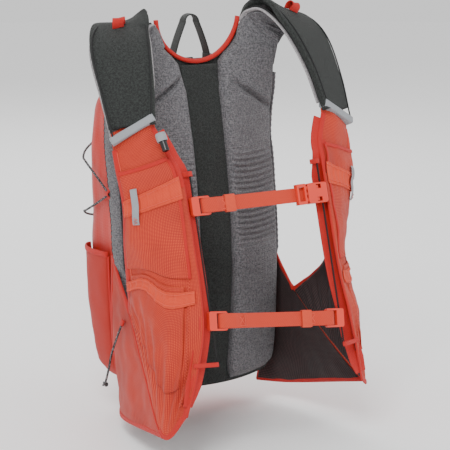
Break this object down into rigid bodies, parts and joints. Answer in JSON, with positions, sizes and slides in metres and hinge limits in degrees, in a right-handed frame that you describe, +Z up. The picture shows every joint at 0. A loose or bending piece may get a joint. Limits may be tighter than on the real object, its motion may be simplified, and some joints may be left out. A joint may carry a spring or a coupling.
{
  "type": "hydration pack",
  "caption": "Vest-style hydration pack with knit back pads, padded shoulder straps, mesh vest fronts, sliding chest straps, side wings and a stretch-pocket bag.",
  "frame": {"origin": "middle of the back panel where it meets the wearer's back", "axes": "+Z up, -Y from the pack to the wearer's chest, +X to the wearer's left"},
  "size_m": [0.3876, 0.3814, 0.5859],
  "materials": {
    "pack_fabric": "woven ripstop, matt",
    "mesh_fabric": "open mesh, matt",
    "red_trim": "folded binding tape",
    "red_webbing": "woven webbing",
    "red_elastic": "ribbed elastic",
    "red_plastic": "moulded, semi-gloss",
    "charcoal_fabric": "heather knit, matt",
    "grey_knit": "three-dimensional knit",
    "dark_lining": "open mesh",
    "reflective_grey": "reflective tape",
    "black_cord": "braided elastic cord",
    "black_plastic": "moulded",
    "frame_plastic": "sheet",
    "bladder_film": "translucent film",
    "blue_plastic": "moulded",
    "sleeve_fabric": "light lining",
    "zip_coil": "coil zip"
  },
  "bodies": {
    "pack": {"back_pad_left": "grey_knit", "back_pad_right": "grey_knit", "back_panel_sheet": "charcoal_fabric", "bag_shell": "pack_fabric", "compression_cord": "black_cord", "cord_guides": "black_plastic", "draw_cord": "black_cord", "draw_cord_anchor": "pack_fabric", "draw_cord_knot": "black_cord", "frame_sheet": "frame_plastic", "haul_anchor": "charcoal_fabric", "hose_port": "blue_plastic", "lower_elastic_band_left": "red_elastic", "lower_elastic_band_right": "red_elastic", "lower_vest_pocket_left": "mesh_fabric", "lower_vest_pocket_right": "mesh_fabric", "main_zip": "zip_coil", "neckline_binding": "red_trim", "pocket_binding_left": "red_trim", "pocket_binding_right": "red_trim", "pole_loop_left": "reflective_grey", "pole_loop_right": "reflective_grey", "reflective_band_left": "reflective_grey", "reflective_band_right": "reflective_grey", "reservoir_bladder": "bladder_film", "reservoir_sleeve": "sleeve_fabric", "shoulder_strap_left": "charcoal_fabric", "shoulder_strap_right": "charcoal_fabric", "side_pocket_left": "pack_fabric", "side_pocket_right": "pack_fabric", "side_wing_left": "dark_lining", "side_wing_right": "dark_lining", "spine_panel": "charcoal_fabric", "sternum_rail_left": "black_cord", "sternum_rail_right": "black_cord", "strap_lining_left": "dark_lining", "strap_lining_right": "dark_lining", "strap_tab_left": "red_trim", "strap_tab_right": "red_trim", "upper_elastic_band_left": "red_elastic", "upper_elastic_band_right": "red_elastic", "upper_vest_pocket_left": "mesh_fabric", "upper_vest_pocket_right": "mesh_fabric", "vest_panel_left": "mesh_fabric", "vest_panel_right": "mesh_fabric", "whistle_loop": "reflective_grey"},
    "haul_loop": {"haul_loop": "charcoal_fabric"},
    "upper_strap": {"upper_webbing": "red_webbing", "upper_hook_left": "red_plastic", "upper_buckle_female": "red_plastic"},
    "upper_buckle": {"upper_buckle_male": "red_plastic"},
    "upper_keeper": {"upper_keeper": "red_elastic"},
    "lower_strap": {"lower_webbing": "red_webbing", "lower_hook_left": "red_plastic", "lower_hook_right": "red_plastic"},
    "lower_keeper": {"lower_keeper": "red_elastic"},
    "cord_lock": {"cord_lock": "black_plastic"},
    "zip_slider": {"zip_slider": "zip_coil"},
    "whistle": {"whistle": "black_plastic"},
    "reservoir_cap": {"reservoir_cap": "blue_plastic"}
  },
  "joints": [
    {"name": "haul_loop_tilt", "type": "hinge", "parent": "pack", "child": "haul_loop", "pos_m": [0, 0.079, 0.246], "axis": [1, 0, 0], "range_deg": [-35, 8]},
    {"name": "upper_strap_slide", "type": "slide", "parent": "pack", "child": "upper_strap", "axis": [0, 0.2926, 0.9562], "range_m": [-0.025, 0.025]},
    {"name": "upper_buckle_release", "type": "slide", "parent": "upper_strap", "child": "upper_buckle", "axis": [-1, 0, 0], "range_m": [0, 0.025]},
    {"name": "upper_keeper_slide", "type": "slide", "parent": "upper_strap", "child": "upper_keeper", "axis": [1, 0, 0], "range_m": [0, 0.06]},
    {"name": "lower_strap_slide", "type": "slide", "parent": "pack", "child": "lower_strap", "axis": [0, 0.2926, 0.9562], "range_m": [-0.012, 0.025]},
    {"name": "lower_keeper_slide", "type": "slide", "parent": "lower_strap", "child": "lower_keeper", "axis": [-0.9945, 0.0306, 0.0999], "range_m": [0, 0.06]},
    {"name": "cord_lock_slide", "type": "slide", "parent": "pack", "child": "cord_lock", "axis": [0, 0, 1], "range_m": [0, 0.04]},
    {"name": "zip_slide", "type": "slide", "parent": "pack", "child": "zip_slider", "axis": [1, 0, 0], "range_m": [-0.07, 0.05]},
    {"name": "whistle_pull", "type": "slide", "parent": "pack", "child": "whistle", "axis": [0.1, -0.5001, -0.8602], "range_m": [0, 0.03]},
    {"name": "reservoir_cap_turn", "type": "hinge", "parent": "pack", "child": "reservoir_cap", "pos_m": [0, 0.062, 0.086], "axis": [0, 1, 0], "range_deg": [0, 150]}
  ]
}
